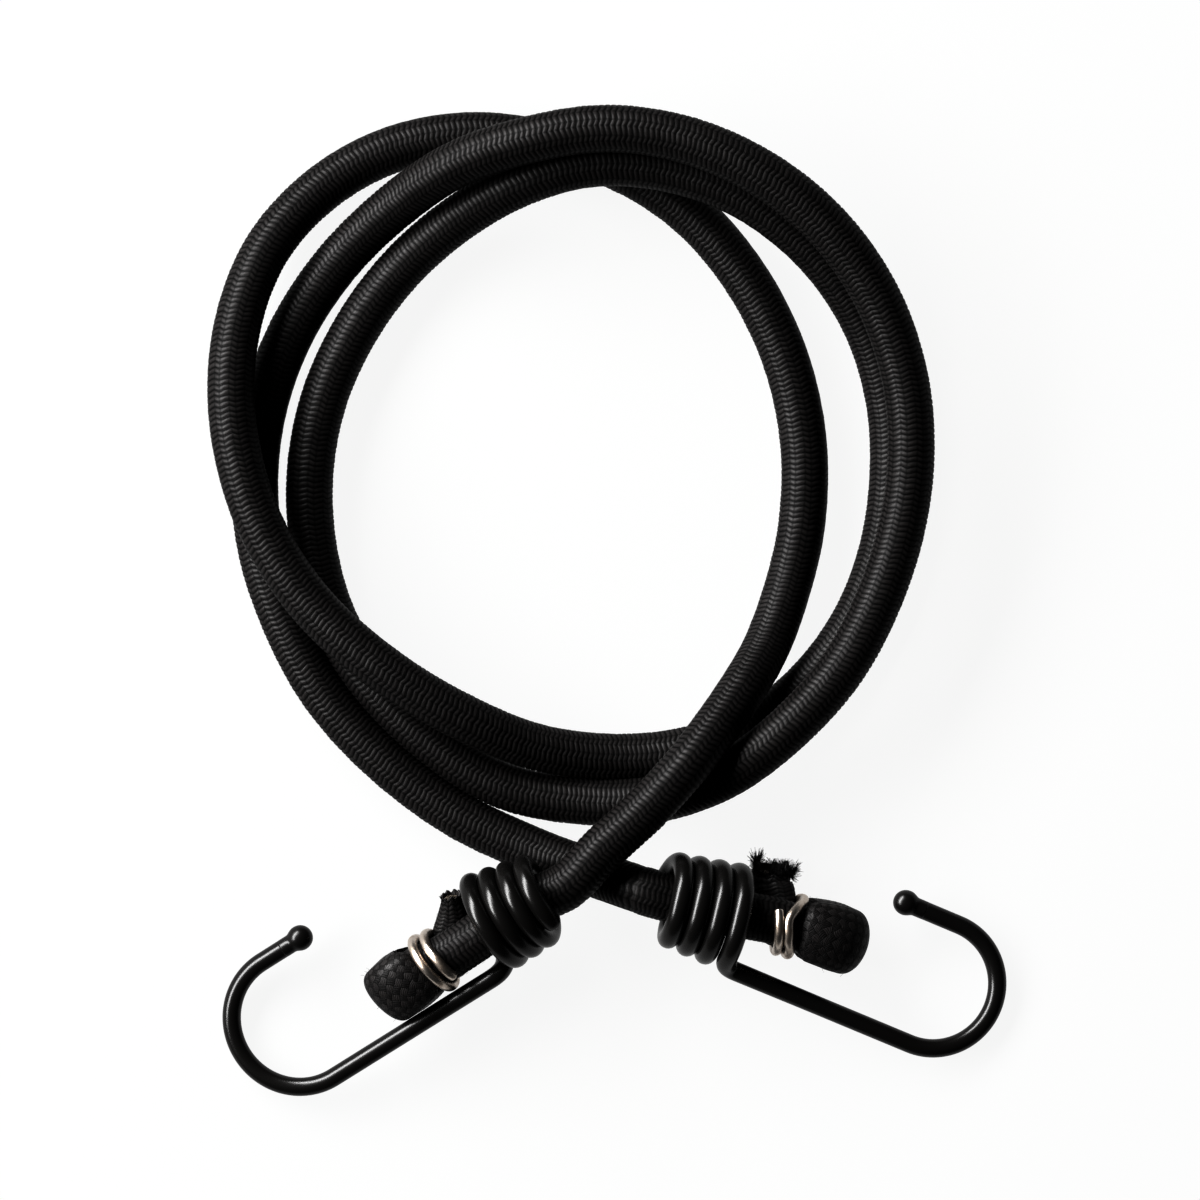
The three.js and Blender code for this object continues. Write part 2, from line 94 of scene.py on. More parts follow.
# The route of the coil as it lies: x, y and the layer that the strand lies in
ROUTE = (
    (-0.9, -41.8, 1.5), (6.6, -34.9, 1.5), (14.4, -26.2, 1.48), (21.8, -16.2, 0.97), (26.9, -7.7, 0.32),
    (30.4, 1.8, 0), (32.8, 12.0, 0), (33.4, 23.9, 0), (32.1, 34.1, 0), (28.8, 44.7, 0), (22.7, 55.9, 0),
    (13.9, 66.0, 0), (2.8, 73.3, 0), (-10.0, 77.6, 0), (-23.6, 79.2, 0), (-36.8, 76.8, 0),
    (-48.4, 70.4, 0.12), (-57.6, 60.3, 0.45), (-62.4, 48.6, 0.72), (-63.9, 36.2, 0.93),
    (-62.5, 23.9, 1.05), (-58.1, 11.2, 1.08), (-49.4, -1.6, 1.08), (-36.8, -12.5, 1.08),
    (-24.6, -19.8, 0.86), (-11.9, -25.0, 0.36), (2.0, -26.7, 0), (14.2, -25.3, 0), (25.3, -21.2, 0),
    (35.1, -13.0, 0), (42.3, -2.8, 0), (46.7, 8.9, 0), (48.4, 20.8, 0), (47.9, 33.3, 0),
    (44.0, 46.4, 0.22), (35.7, 58.6, 0.7), (23.2, 68.3, 1.05), (9.6, 73.1, 1.12), (-3.1, 73.8, 1.12),
    (-14.2, 70.9, 0.95), (-24.9, 65.3, 0.45), (-34.8, 57.1, 0.04), (-42.6, 46.9, 0), (-48.3, 34.8, 0),
    (-50.8, 22.2, 0), (-50.3, 9.4, 0), (-47.0, -2.7, 0.06), (-40.3, -13.7, 0.16), (-30.3, -23.7, 0.16),
    (-18.1, -31.4, 0.1), (-4.0, -34.2, 0.1), (8.7, -33.6, 0.36), (19.9, -29.5, 0.82), (30.2, -21.8, 1.1),
    (39.3, -11.7, 1.14), (45.4, -0.4, 1.13), (49.4, 11.7, 1.13), (51.1, 24.3, 1.13), (50.0, 37.8, 1.18),
    (45.2, 51.3, 1.4), (36.5, 63.3, 1.7), (24.9, 72.3, 1.9), (11.9, 77.7, 1.92), (-0.9, 79.3, 1.9),
    (-13.4, 77.5, 1.75), (-25.3, 73.8, 1.3), (-35.8, 67.3, 0.5), (-45.7, 58.1, 0.05), (-53.4, 46.9, 0),
    (-58.3, 34.5, 0), (-60.2, 21.9, 0), (-59.3, 9.4, 0), (-55.4, -2.9, 0), (-48.8, -15.4, 0),
    (-38.8, -26.6, 0), (-26.3, -36.1, 0), (-13.4, -42.3, 0.07), (-3.1, -46.1, 0.42),
)
LEFT_MIDDLE_ON_ROUTE = np.array([-16.1, -52.5, 13.4])

# Hook: spiral, straight shank, half-round bend and return leg, with a ball tip
WIRE_RADIUS = 1.55
SPIRAL_FILL = 0.507
SHANK_WIRE_RADIUS = 1.57
WIRE_ROUNDING = 1.2
ROUNDING_STEPS = 7
# Between these shares of the wire's length its coating gets thinner, from the spiral's to the shank's
COATING_THINS = (0.6, 0.75)
REAR_RADIUS = 6.2
SPIRAL_FLARE = 1.5
SPIRAL_PASSES = 4
FRONT_PASS = 5.325
SPIRAL_FRONT_END = -30
LEAVE_LENGTH = 4.6
LEAVE_PULL = 2.4
SHANK_SPLAY = 6
SHANK_LENGTH = 42.2
TIP_RADIUS = 2.15
TIP_NECK = 3.6
NECK_COATING = 0.03
NECK_BLEND = 8
BALL_STEPS = 14
BALL_ANGLES = (0.1, 1.55)
STEPS_PER_TURN = 56

# Clip: two turns of wire round both legs of the fold
CLIP_RADIUS = 0.84
CLIP_ROUNDING = 0.25
CLIP_HALF_WIDTH = 4.9
CLIP_HALF_HEIGHT = 4.2
CLIP_SQUARENESS = 0.8
CLIP_HALF_LENGTH = 2.82
CLIP_POINTS = 96
LEG_SPREAD = 2.3
KNOB_SPREAD = 3.1
KNOB_STEPS = 4
NECK_LENGTH = 1.1
SHIFT_IN_SPIRAL = 0.1
SHIFT_MIDWAY = 0.55

# Sections of the cord: half width, thickness outside the bend and inside it, and how full the inside and the
# outside are (1 is round). The full one is drawn large, as the ridges end 0.18 mm below the smooth sleeve
SECTION_LENGTHS = 3
FULL_SECTION = (4.18, 4.18, 4.18, 1.0, 1.0)
LEG_SECTION = (4.1, 3.3, 2.25, 0.3, 1.0)

# The cut tail: a rim of sleeve round the recessed core, as (step past the cut, share of the section)
RIM_RINGS = ((0.22, 0.95), (0.3, 0.84), (0.1, 0.75), (-1.6, 0.72), (-1.7, 0.05))
CUT_REACH = 4.0
CORE_STRAND = 0.72
CORE_STRANDS = 7
CORE_SHARE = 0.42
CORE_RECESS = 0.5
CORE_LENGTH = 2.4

# Loose yarns: tufts round the cut, and stray fibres on the knob and the legs
RIM_POINTS = 72
YARN_ROOT = 0.15
YARN_LEVEL = (1.0, 1.0, 0.3)
YARN_LENGTHS = (0.35, 1.0)
YARN_TAPER = 0.6
FRAY_FLARE = 0.2
FRAY_CLUMP = 0.3
FRAY_FLOOR = 0.12
FRAY_SEED = 5
FUZZ_FIBRES = 90
FUZZ_FROM = 9.0
FUZZ_LENGTH = 1.0
FUZZ_LENGTHS = (0.4, 1.0)
FUZZ_RADIUS = 0.022
FUZZ_SEED = 12

# What differs between the two ends: the side that they face, the hook's bend and pitch, the clip's place and
# advance over its half turns, the knob, the tail's places and sections, its ragged cut and tufts
ENDS = {
    "left": {
        "side": 1, "bend_inner": 10.0, "return_length": 8.1, "rear_cut": -323, "pitch": 3.22,
        "clip_place": 15.8, "clip_aside": 1.9,
        "clip_advance": ((0.25, -2.7), (0.5, -1.9), (1.0, -0.4), (2.0, -0.5), (3.0, 1.9), (3.75, 1.9)),
        "knob": (5.35, 3.5, 3.5, 0.2, 0.62), "neck": 0.96,
        "knob_place": 22.0, "knob_aside": (2.7, 2.95), "knob_skew": 0.5,
        "tail": (
            ((12.1, -1.0, -3.0), (3.5, 2.6, 2.3, 0.8, 1.0)),
            ((10.3, -3.9, -2.5), (2.7, 2.2, 2.2, 0.9, 1.0)),
            ((8.8, -6.9, -1.2), (1.8, 1.6, 1.7, 1.0, 1.0)),
        ),
        "cut": ((1, 0.2, 0.0), (5, 0.12, 1.0), (9, 0.1, 2.0)),
        "tufts": ((180, 60, 0.5),), "tuft_length": 0.7, "tuft_amount": 6,
    },
    "right": {
        "side": -1, "bend_inner": 9.4, "return_length": 10.1, "rear_cut": -290, "pitch": 3.45,
        "clip_place": 14.6, "clip_aside": -1.5,
        "clip_advance": (
            (0.36, -3.1), (1.0, -0.4), (1.5, 0.3), (2.0, 1.6),
            (2.25, 0.2), (2.44, -1.0), (2.63, -0.1), (3.0, 1.6), (3.6, 1.6),
        ),
        "knob": (5.6, 3.5, 3.5, 0.2, 1.0), "neck": 0.93,
        "knob_place": 22.6, "knob_aside": (-1.7, -1.9), "knob_skew": 0.2,
        "tail": (
            ((12.3, -3.4, -3.3), (4.4, 2.8, 2.4, 0.8, 1.0)),
            ((11.3, -5.8, -4.1), (4.5, 2.5, 2.4, 0.9, 1.0)),
            ((10.6, -7.6, -4.4), (4.0, 2.3, 2.3, 1.0, 1.0)),
            ((10.6, -9.5, -4.5), (3.6, 2.2, 2.2, 1.0, 1.0)),
        ),
        "cut": ((1, 1.1, -1.57), (3, 0.45, 2.0), (5, 0.25, 0.6), (8, 0.2, 3.0)),
        "tufts": ((178, 50, 0.9), (350, 60, 1.0)), "tuft_length": 2.8, "tuft_amount": 16,
    },
}


# Lines and frames


def spline(points):
    """Centripetal Catmull-Rom curve through points."""
    points = np.asarray(points, float)
    padded = np.vstack([2 * points[0] - points[1], points, 2 * points[-1] - points[-2]])
    share = np.arange(SAMPLES_PER_SPAN)[:, None] / SAMPLES_PER_SPAN
    spans = []
    for p0, p1, p2, p3 in zip(padded, padded[1:], padded[2:], padded[3:]):
        before, here, after = (np.linalg.norm(step) ** 0.5 for step in (p1 - p0, p2 - p1, p3 - p2))
        here = here if here > LEAST_SPAN else 1.0
        before = before if before > LEAST_SPAN else here
        after = after if after > LEAST_SPAN else here
        leave = here * ((p1 - p0) / before - (p2 - p0) / (before + here) + (p2 - p1) / here)
        reach = here * ((p2 - p1) / here - (p3 - p1) / (here + after) + (p3 - p2) / after)
        square = 3 * (p2 - p1) - 2 * leave - reach
        cube = 2 * (p1 - p2) + leave + reach
        spans.append(p1 + share * (leave + share * (square + share * cube)))
    return np.vstack(spans + [points[-1:]])


def lengths_along(points):
    steps = np.linalg.norm(np.diff(points, axis=0), axis=1)
    return np.concatenate([[0.0], np.cumsum(steps)])


def at_lengths(values, along, wanted):
    return np.stack([np.interp(wanted, along, values[:, i]) for i in range(values.shape[1])], axis=1)


def unit(vectors):
    return vectors / np.linalg.norm(vectors, axis=1, keepdims=True)


def directions(points):
    return unit(np.gradient(points, axis=0))


def turned(vectors, axes, angles):
    """Vectors turned about unit axes that they stand square to."""
    angles = np.asarray(angles)[:, None]
    return vectors * np.cos(angles) + np.cross(axes, vectors) * np.sin(angles)


def carried(first, tangents):
    """One direction carried along a line without turning about it."""
    across = np.array(first, float)
    carried_on = []
    for tangent in tangents:
        across = across - tangent * across.dot(tangent)
        across = across / np.linalg.norm(across)
        carried_on.append(across)
    return np.array(carried_on)


class EndFrame:
    """Place of one end: x along the spiral to the front, y level, z up."""

    def __init__(self, name):
        joint = JOINTS[f"{name}_hook_swivel"]
        self.middle = np.array(joint["pos_m"]) / MM
        side = ENDS[name]["side"]
        ahead = np.array(joint["axis"]) * side
        aside = np.array([-ahead[1], ahead[0], 0.0])
        aside = aside / np.linalg.norm(aside)
        self.axes = np.stack([ahead, aside, np.cross(ahead, aside)])
        # The right hook is turned over about its own length
        self.roll = np.array([1, side, side])

    def place(self, points, rolled=False):
        points = np.asarray(points, float)
        points = points * self.roll if rolled else points
        return points @ self.axes + self.middle

    def direction(self, vector, rolled=False):
        return self.place(vector, rolled) - self.middle

    def inverse(self, point):
        return self.axes @ (np.asarray(point) - self.middle)


PLACES = {name: EndFrame(name) for name in ENDS}


def laid_route():
    shift = PLACES["left"].middle - LEFT_MIDDLE_ON_ROUTE
    return np.array([(x, y, LOWEST_CENTRE + layer * LAYER_RISE) for x, y, layer in ROUTE]) + shift


def free_cord():
    """Centres of the braid's rings along the free cord, from the left fold to the right one."""
    on_axis = [(FOLD_START / 2, 0, 0), (FOLD_START, 0, 0)]
    ends = PLACES["left"].place(on_axis), PLACES["right"].place(on_axis[::-1])
    line = spline(np.vstack([ends[0], laid_route(), ends[1]]))
    along = lengths_along(line)
    along -= along[SAMPLES_PER_SPAN]
    length = along[-1 - SAMPLES_PER_SPAN]
    wanted, pitch = ring_places(length, TUCKED_RINGS)
    centres = at_lengths(line, along, wanted)
    tangents = directions(centres)
    across = carried(PLACES["left"].axes[1], tangents)
    # Turned evenly so that the braid's columns run on into the right fold
    target = PLACES["right"].axes[1]
    gap = math.atan2(np.cross(across[-1], target).dot(tangents[-1]), across[-1].dot(target))
    column = 2 * math.pi / BRAID_COLUMNS
    gap = (gap + column / 2) % column - column / 2
    across = turned(across, tangents, gap * wanted / length)
    sections = np.tile(FULL_SECTION, (len(wanted), 1))
    return {
        "centres": centres, "tangents": tangents, "across": across,
        "along": wanted, "ridge": wanted / pitch, "sections": sections, "opened": np.zeros(len(wanted)),
    }


def ring_places(length, tucked_after):
    """Distances of the braid's rings along a piece, tucked ones too, and the pitch of its ridges."""
    ridges = round(length / RIDGE_PITCH)
    count = np.arange(-TUCKED_RINGS, ridges * RINGS_PER_RIDGE + tucked_after + 1)
    pitch = length / ridges
    return (count // RINGS_PER_RIDGE + np.take(RING_PHASES, count % RINGS_PER_RIDGE)) * pitch, pitch


def tucked(sections, after):
    """Sections made thinner where rings lie under the pieces before and after."""
    thinner = np.array(sections)
    thinner[:TUCKED_RINGS, :SECTION_LENGTHS] -= TUCK_DEPTH
    if after:
        thinner[-after:, :SECTION_LENGTHS] -= TUCK_DEPTH
    return thinner


def fold_stations(end, before):
    """Places and sections down one fold: through the spiral, the clip, round the knob and out as the tail."""
    side = end["side"]
    clip_rear = end["clip_place"] - CLIP_HALF_LENGTH
    clip_front = end["clip_place"] + CLIP_HALF_LENGTH
    aside = end["clip_aside"]
    stations = [
        ((before[0], before[1] * side, before[2]), FULL_SECTION),
        ((FOLD_START, 0, 0), FULL_SECTION),
        ((FOLD_START / 2, 0, 0), FULL_SECTION),
        ((0, SHIFT_IN_SPIRAL * aside, SHIFT_IN_SPIRAL * LEG_SPREAD), FULL_SECTION),
        ((clip_rear / 2, SHIFT_MIDWAY * aside, SHIFT_MIDWAY * LEG_SPREAD), FULL_SECTION),
        ((clip_rear, aside, LEG_SPREAD), LEG_SECTION),
        ((clip_front, aside, LEG_SPREAD), LEG_SECTION),
    ]
    leg_aside, tail_aside = end["knob_aside"]
    for i in range(KNOB_STEPS + 1):
        share = i / KNOB_STEPS
        angle = math.pi * share
        knob_ahead = end["knob_place"] + KNOB_SPREAD * math.sin(angle)
        knob_aside = leg_aside + (tail_aside - leg_aside) * share + end["knob_skew"] * math.sin(angle)
        stations.append(((knob_ahead, knob_aside, KNOB_SPREAD * math.cos(angle)), end["knob"]))
    # The sleeve swells out straight in front of the clip
    neck_section = np.array(end["knob"]) * (end["neck"], end["neck"], 1, 1, 1)
    neck_place = clip_front + NECK_LENGTH
    first_knob = len(stations) - KNOB_STEPS - 1
    stations.insert(first_knob, ((neck_place, (aside + leg_aside) / 2, KNOB_SPREAD), neck_section))
    stations.append(((neck_place, (aside + tail_aside) / 2, -KNOB_SPREAD), neck_section))
    stations.append(((clip_front, aside, -LEG_SPREAD), LEG_SECTION))
    stations.append(((clip_rear, aside, -LEG_SPREAD), LEG_SECTION))
    stations.extend(end["tail"])
    places = np.array([place for place, _ in stations]) * (1, side, 1)
    return places, np.array([section for _, section in stations])


def fold_line(name, before):
    end = ENDS[name]
    places, sections = fold_stations(end, PLACES[name].inverse(before))
    line = spline(places)
    sizes = spline(sections)
    # Measured along the outside of the bend, so that the ridges keep their pitch round the knob
    fine_tangents = directions(line)
    outward = np.cross(fine_tangents, carried((0, 1, 0), fine_tangents))
    along = lengths_along(line + outward * sizes[:, 1:2] * OUTSIDE_SHARE)
    along -= along[SAMPLES_PER_SPAN]
    wanted, pitch = ring_places(along[-1], 0)
    spots = at_lengths(line, along, wanted)
    opened = np.clip((spots[:, 0] - end["clip_place"] - CLIP_HALF_LENGTH) / OPEN_REACH, 0, 1)
    centres = PLACES[name].place(spots)
    tangents = directions(centres)
    across = carried(PLACES[name].axes[1], tangents)
    sizes = tucked(at_lengths(sizes, along, wanted), 0)
    # The rim rings turn in over the cut, on the last ring's axes
    count = len(RIM_RINGS)
    steps, shares = np.array(RIM_RINGS).T
    rim = centres[-1] + tangents[-1] * steps[:, None]
    rim_sizes = sizes[-1] * np.where(np.arange(sizes.shape[1]) < SECTION_LENGTHS, shares[:, None], 1)
    return {
        "centres": np.vstack([centres, rim]),
        "tangents": np.vstack([tangents, np.tile(tangents[-1], (count, 1))]),
        "across": np.vstack([across, np.tile(across[-1], (count, 1))]),
        "along": np.append(wanted, np.full(count, wanted[-1])),
        "ridge": np.append(wanted, np.full(count, wanted[-1] + pitch / 2)) / pitch,
        "opened": np.append(opened, np.zeros(count)),
        "sections": np.vstack([sizes, rim_sizes]),
    }


def hook_line(end):
    """Centre line of one hook's wire in its own frame, and where its ball tip sits."""
    first = math.radians(end["rear_cut"] - 360 * (SPIRAL_PASSES - 1))
    last = math.radians(SPIRAL_FRONT_END)
    angles = np.linspace(first, last, round((last - first) / (2 * math.pi) * STEPS_PER_TURN))
    radius = REAR_RADIUS + SPIRAL_FLARE * (angles - first) / (last - first)
    along = FRONT_PASS + end["pitch"] * (angles + math.pi / 2) / (2 * math.pi)
    spiral = np.stack([along, radius * np.cos(angles), radius * np.sin(angles)], axis=1)

    splay = math.radians(SHANK_SPLAY)
    forward = np.array([math.cos(splay), math.sin(splay), 0])
    inward = np.array([math.sin(splay), -math.cos(splay), 0])

    def shank(distance):
        return forward * distance - inward * (REAR_RADIUS + SPIRAL_FLARE)

    leaving = (spiral[-1] - spiral[-2]) / np.linalg.norm(spiral[-1] - spiral[-2])
    start = FRONT_PASS + LEAVE_LENGTH
    t = np.linspace(0, 1, STEPS_PER_TURN // 2)[1:, None]
    pulled = spiral[-1] + leaving * LEAVE_PULL
    pushed = shank(start) - forward * LEAVE_PULL
    joining = (
        (1 - t) ** 3 * spiral[-1] + 3 * (1 - t) ** 2 * t * pulled
        + 3 * (1 - t) * t ** 2 * pushed + t ** 3 * shank(start)
    )
    straight = [shank(d) for d in np.linspace(start, SHANK_LENGTH, STEPS_PER_TURN // 4)[1:-1]]
    bend_radius = end["bend_inner"] + WIRE_RADIUS
    centre = shank(SHANK_LENGTH) + inward * bend_radius
    bend = [
        centre + bend_radius * (forward * math.sin(a) - inward * math.cos(a))
        for a in np.linspace(0, math.pi, STEPS_PER_TURN)
    ]
    tip = centre + inward * bend_radius - forward * end["return_length"]
    leg_end = tip + forward * TIP_RADIUS / 2
    return np.vstack([spiral, joining, straight, bend, [leg_end]]), tip, -forward


def clip_line(end):
    """Centre line of the clip's wire in its end's frame."""
    half_turns, advance = spline(end["clip_advance"]).T
    turns = np.linspace(half_turns[0], half_turns[-1], CLIP_POINTS)
    angle = math.pi * turns
    lift = LEG_SPREAD * np.sign(np.sin(angle)) * np.abs(np.sin(angle)) ** CLIP_SQUARENESS
    return np.stack([
        end["clip_place"] + np.interp(turns, half_turns, advance),
        end["clip_aside"] * end["side"] + CLIP_HALF_WIDTH * np.cos(angle),
        lift + CLIP_HALF_HEIGHT * np.sin(angle),
    ], axis=1)


# Node trees


class Signal:
    """An output socket that takes part in arithmetic: each operator adds the node that does it."""

    def __init__(self, nodes, socket):
        self.nodes = nodes
        self.socket = socket

    def math(self, operation, *others):
        return self.nodes.math(operation, self, *others)

    def __add__(self, other):
        return self.math("ADD", other)

    def __sub__(self, other):
        return self.math("SUBTRACT", other)

    def __rsub__(self, other):
        return self.nodes.math("SUBTRACT", other, self)

    def __mul__(self, other):
        return self.math("MULTIPLY", other)

    def __truediv__(self, other):
        return self.math("DIVIDE", other)

    def __pow__(self, other):
        return self.math("POWER", other)

    __radd__ = __add__
    __rmul__ = __mul__

    def fract(self):
        return self.math("FRACT")

    def hump(self):
        """0 at whole numbers and 1 halfway between them."""
        share = self.fract()
        return share * (1.0 - share) * 4.0

    def least(self, other):
        return self.math("MINIMUM", other)

    def most(self, other):
        return self.math("MAXIMUM", other)

    def between(self, low, high):
        """0 at low and 1 at high, level outside."""
        return ((self - low) / (high - low)).most(0).least(1)

    def onto(self, low, high):
        """low at 0 and high at 1."""
        return self * (high - low) + low


class Nodes:
    """A node tree in the making."""

    def __init__(self, tree):
        self.tree = tree

    def pick(self, sockets, key):
        if isinstance(key, int):
            return sockets[key]
        return next(s for s in sockets if s.enabled and s.name == key)

    def node(self, kind, inputs=None, **settings):
        node = self.tree.nodes.new(kind)
        for key, value in settings.items():
            setattr(node, key, value)
        for key, value in (inputs or {}).items():
            self.feed(node, key, value)
        return node

    def feed(self, node, key, value):
        socket = self.pick(node.inputs, key)
        if isinstance(value, Signal):
            self.tree.links.new(value.socket, socket)
        else:
            socket.default_value = value

    def out(self, node, key=0):
        return Signal(self, self.pick(node.outputs, key))

    def make(self, kind, inputs=None, output=0, **settings):
        return self.out(self.node(kind, inputs, **settings), output)

    def math(self, operation, *values):
        return self.make("ShaderNodeMath", dict(enumerate(values)), operation=operation)

    def vector(self, operation, *values):
        return self.make("ShaderNodeVectorMath", dict(enumerate(values)), operation=operation)

    def scaled(self, vector, factor):
        return self.make("ShaderNodeVectorMath", {0: vector, "Scale": factor}, operation="SCALE")

    def combine(self, x, y, z):
        return self.make("ShaderNodeCombineXYZ", {0: x, 1: y, 2: z})

    def noise(self, vector, scale, detail=2.0):
        return self.make("ShaderNodeTexNoise", {"Vector": vector, "Scale": scale, "Detail": detail})

    def object_noise(self, scale, detail=2.0):
        return self.noise(self.make("ShaderNodeTexCoord", output="Object"), scale, detail)

    def random(self, low, high, seed):
        inputs = {"Min": low, "Max": high, "Seed": seed}
        return self.make("FunctionNodeRandomValue", inputs, output="Value", data_type="FLOAT")

    def random_vector(self, seed, which=None):
        inputs = {"Min": (-1.0, -1.0, -1.0), "Max": (1.0, 1.0, 1.0), "Seed": seed}
        if which is not None:
            inputs["ID"] = which
        return self.make("FunctionNodeRandomValue", inputs, output="Value", data_type="FLOAT_VECTOR")

    def attribute(self, name, kind="FLOAT"):
        inputs = {"Name": name}
        return self.make("GeometryNodeInputNamedAttribute", inputs, output="Attribute", data_type=kind)


def geometry_tree(name, inputs):
    """A tree with named inputs, given as label: (socket type, default value), and its material's."""
    inputs = {**inputs, "Material": ("Material", None)}
    tree = bpy.data.node_groups.new(name, "GeometryNodeTree")
    tree.interface.new_socket("Geometry", in_out="INPUT", socket_type="NodeSocketGeometry")
    for label, (kind, default) in inputs.items():
        socket = tree.interface.new_socket(label, in_out="INPUT", socket_type=f"NodeSocket{kind}")
        socket.default_value = default
    tree.interface.new_socket("Geometry", in_out="OUTPUT", socket_type="NodeSocketGeometry")
    nodes = Nodes(tree)
    start = nodes.node("NodeGroupInput")
    values = {label: nodes.out(start, label) for label in ["Geometry", *inputs]}
    return nodes, values


def close_tree(nodes, geometry, material):
    """The last steps of every tree: plain smooth mesh with its material."""
    geometry = nodes.make("GeometryNodeRealizeInstances", {"Geometry": geometry})
    geometry = nodes.make("GeometryNodeSetShadeSmooth", {"Geometry": geometry, "Shade Smooth": True})
    geometry = nodes.make("GeometryNodeSetMaterial", {"Geometry": geometry, "Material": material})
    nodes.node("NodeGroupOutput", {"Geometry": geometry})
    return nodes.tree


def braid_noise(ridge, column, grain, scale=1.0, detail=2.0):
    """Noise that follows the braid, its grain being so many patches to a ridge and to a column."""
    along, around = grain
    nodes = ridge.nodes
    return nodes.noise(nodes.combine(ridge * along, column * around, 0.0), scale, detail)


def braid_tree():
    """Raises the braid on a smooth sleeve: ridges across it that kink from column to column."""
    nodes, values = geometry_tree("braided_sleeve", {
        "Ridge Depth": ("Float", RIDGE_DEPTH * MM),
        "Kink Reach": ("Float", 0.38 * MM),
        "Flat Share": ("Float", FLAT_SHARE),
        "Wobble": ("Float", 0.5 * MM),
    })
    ridge = nodes.attribute("ridge")
    column = nodes.attribute("column")
    turn = column.fract()
    lead = nodes.attribute("lead", "FLOAT_VECTOR")
    flat = values["Flat Share"]
    kink = (turn / flat).least((1.0 - turn) / (1.0 - flat)) - 0.5
    grain = braid_noise(ridge, column, UNEVEN_GRAIN, scale=1.7)
    depth = values["Ridge Depth"] * grain.onto(*UNEVEN_DEPTH) * nodes.attribute("slack")
    groove = (ridge * (2 * math.pi)).math("COSINE") * 0.5 + 0.5
    normal = nodes.make("GeometryNodeInputNormal")
    shift = nodes.scaled(lead, kink * values["Kink Reach"] + (grain - 0.5) * values["Wobble"])
    sink = nodes.scaled(normal, depth * groove * -1.0)
    moved = nodes.make("GeometryNodeSetPosition", {
        "Geometry": values["Geometry"],
        "Offset": nodes.vector("ADD", shift, sink),
    })
    above_floor = nodes.vector("MAXIMUM", nodes.make("GeometryNodeInputPosition"), (-1.0, -1.0, 0.0))
    laid = nodes.make("GeometryNodeSetPosition", {"Geometry": moved, "Position": above_floor})
    return close_tree(nodes, laid, values["Material"])


def wire_tree():
    """Round wire along a line of points, as thick at each point as its thickness attribute says."""
    nodes, values = geometry_tree("wire_on_path", {"Sides": ("Int", 24)})
    path = nodes.make("GeometryNodeMeshToCurve", {"Mesh": values["Geometry"]})
    profile = nodes.make("GeometryNodeCurvePrimitiveCircle", {"Resolution": values["Sides"], "Radius": 1.0})
    tube = nodes.make("GeometryNodeCurveToMesh", {
        "Curve": path,
        "Profile Curve": profile,
        "Scale": nodes.attribute("thickness"),
        "Fill Caps": True,
    })
    return close_tree(nodes, tube, values["Material"])


def fray_tree():
    """Loose yarn ends standing out of points, along each one's lead and as long as its tuft says."""
    nodes, values = geometry_tree("frayed_yarns", {
        "Amount": ("Int", 1),
        "Length": ("Float", FUZZ_LENGTH * MM),
        "Spread": ("Float", 0.2),
        "Curl": ("Float", 0.45),
        "Thickness": ("Float", 0.05 * MM),
        "Seed": ("Int", 7),
    })
    points = nodes.make("GeometryNodeMeshToPoints", {"Mesh": values["Geometry"]})
    many = nodes.make(
        "GeometryNodeDuplicateElements", {"Geometry": points, "Amount": values["Amount"]}, domain="POINT"
    )
    stray = nodes.scaled(nodes.random_vector(values["Seed"]), values["Spread"])
    direction = nodes.vector("ADD", nodes.attribute("lead", "FLOAT_VECTOR"), stray)
    length = nodes.random(*YARN_LENGTHS, values["Seed"] + 1) * nodes.attribute("tuft") * values["Length"]
    straight = nodes.make("GeometryNodeCurvePrimitiveLine")
    yarn = nodes.make("GeometryNodeResampleCurve", {"Curve": straight, "Count": 6})
    standing = nodes.make("GeometryNodeInstanceOnPoints", {
        "Points": many,
        "Instance": yarn,
        "Rotation": nodes.make("FunctionNodeAlignRotationToVector", {"Vector": direction}, axis="Z"),
        "Scale": nodes.combine(length, length, length),
    })
    yarns = nodes.make("GeometryNodeRealizeInstances", {"Geometry": standing})
    share = nodes.make("GeometryNodeSplineParameter")
    which = nodes.make("GeometryNodeCurveOfPoint")
    drift = nodes.vector("MULTIPLY", nodes.random_vector(values["Seed"] + 2, which), YARN_LEVEL)
    curl = nodes.scaled(drift, share * share * values["Curl"] * values["Length"])
    curled = nodes.make("GeometryNodeSetPosition", {"Geometry": yarns, "Offset": curl})
    profile = nodes.make("GeometryNodeCurvePrimitiveCircle", {"Resolution": 4, "Radius": 1.0})
    tubes = nodes.make("GeometryNodeCurveToMesh", {
        "Curve": curled,
        "Profile Curve": profile,
        "Scale": values["Thickness"] * (1.0 - share * YARN_TAPER),
        "Fill Caps": True,
    })
    return close_tree(nodes, tubes, values["Material"])


def strand_tree():
    """Short round strands, one at each point, lying along its lead."""
    nodes, values = geometry_tree("core_strands", {
        "Radius": ("Float", CORE_STRAND * MM),
        "Length": ("Float", CORE_LENGTH * MM),
    })
    strand = nodes.make("GeometryNodeMeshCylinder", {
        "Vertices": 14, "Radius": values["Radius"], "Depth": values["Length"],
    })
    lead = nodes.attribute("lead", "FLOAT_VECTOR")
    strands = nodes.make("GeometryNodeInstanceOnPoints", {
        "Points": nodes.make("GeometryNodeMeshToPoints", {"Mesh": values["Geometry"]}),
        "Instance": strand,
        "Rotation": nodes.make("FunctionNodeAlignRotationToVector", {"Vector": lead}, axis="Z"),
    })
    return close_tree(nodes, strands, values["Material"])


# Meshes


def new_object(name, data):
    obj = bpy.data.objects.new(name, data)
    bpy.context.scene.collection.objects.link(obj)
    return obj


